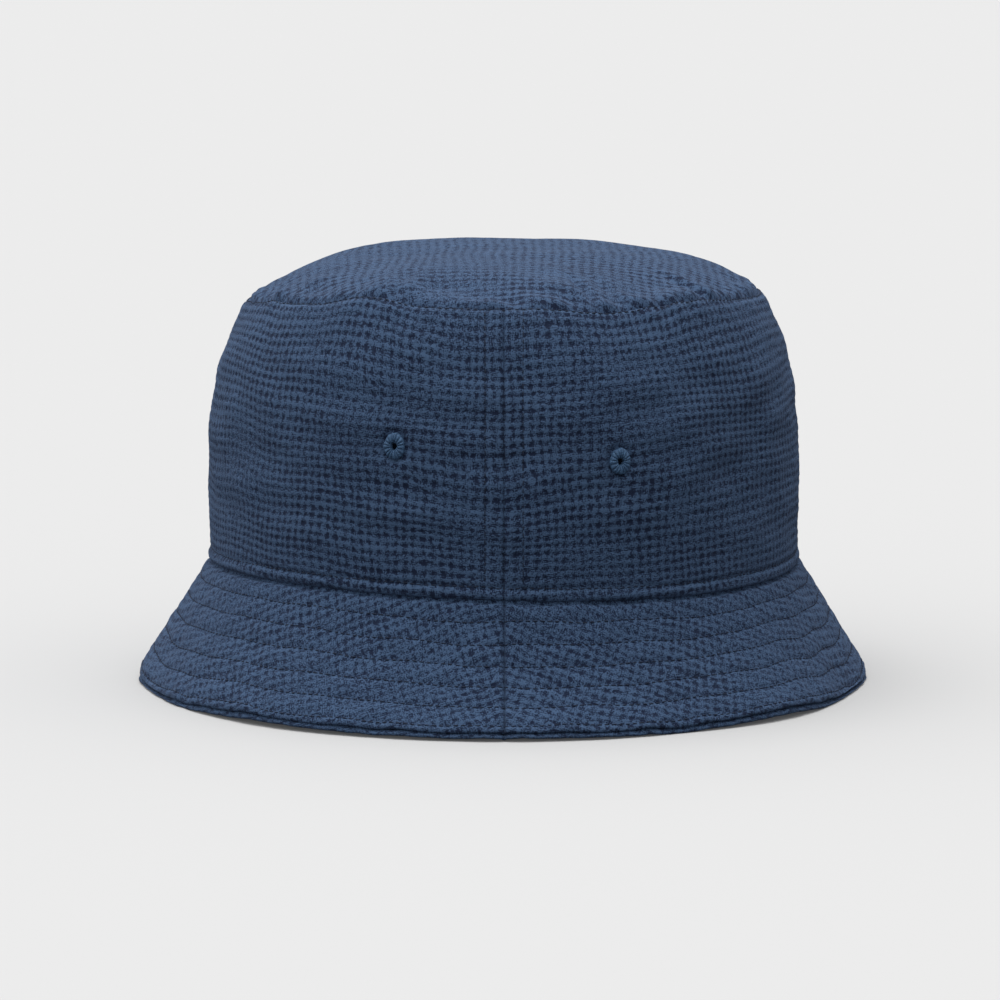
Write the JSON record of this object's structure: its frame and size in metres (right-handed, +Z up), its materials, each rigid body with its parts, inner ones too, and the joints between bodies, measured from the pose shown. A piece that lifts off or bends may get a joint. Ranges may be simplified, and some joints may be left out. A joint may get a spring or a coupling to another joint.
{
  "type": "bucket hat",
  "caption": "Soft bucket hat in puckered navy cloth: oval tip, seamed crown side with vent eyelets, short sloping topstitched brim, sweatband and taped seams inside.",
  "frame": {"origin": "centre of the oval that the brim's edge stands on, at the surface under the hat", "axes": "+Z up through the crown, +Y the way the wearer faces, +X to the wearer's right"},
  "size_m": [0.2236, 0.246, 0.1311],
  "materials": {
    "shell_cloth": "puckered plain weave, matt",
    "thread": "polyester thread, slight sheen",
    "tape": "flat twill tape, matt",
    "sweatband": "twill, matt",
    "interlining": "nonwoven, matt",
    "label": "smooth woven ribbon"
  },
  "bodies": {
    "hat": {"back_seam_topstitching": "thread", "brim_bobbin_stitching": "thread", "brim_edge_seam": "thread", "brim_interlining_left": "interlining", "brim_interlining_right": "interlining", "brim_topstitching": "thread", "brim_under_left": "shell_cloth", "brim_under_right": "shell_cloth", "brim_upper_left": "shell_cloth", "brim_upper_right": "shell_cloth", "care_label_stitching": "thread", "care_label_tab": "label", "crown_side_left": "shell_cloth", "crown_side_right": "shell_cloth", "crown_tip": "shell_cloth", "eyelet_back_left": "thread", "eyelet_back_right": "thread", "eyelet_front_left": "thread", "eyelet_front_right": "thread", "front_seam_topstitching": "thread", "headline_topstitching": "thread", "seam_tape_back": "tape", "seam_tape_front": "tape", "seam_tape_tip": "tape", "sweatband": "sweatband", "sweatband_stitching": "thread", "tip_seam_stitching": "thread", "woven_label": "label", "woven_label_stitching": "thread"},
    "care_label": {"care_label_flap": "label"}
  },
  "joints": [
    {"name": "care_label_swing", "type": "hinge", "parent": "hat", "child": "care_label", "pos_m": [-0.08577, 0, 0.061], "axis": [0, -1, 0], "range_deg": [0, 150]}
  ]
}
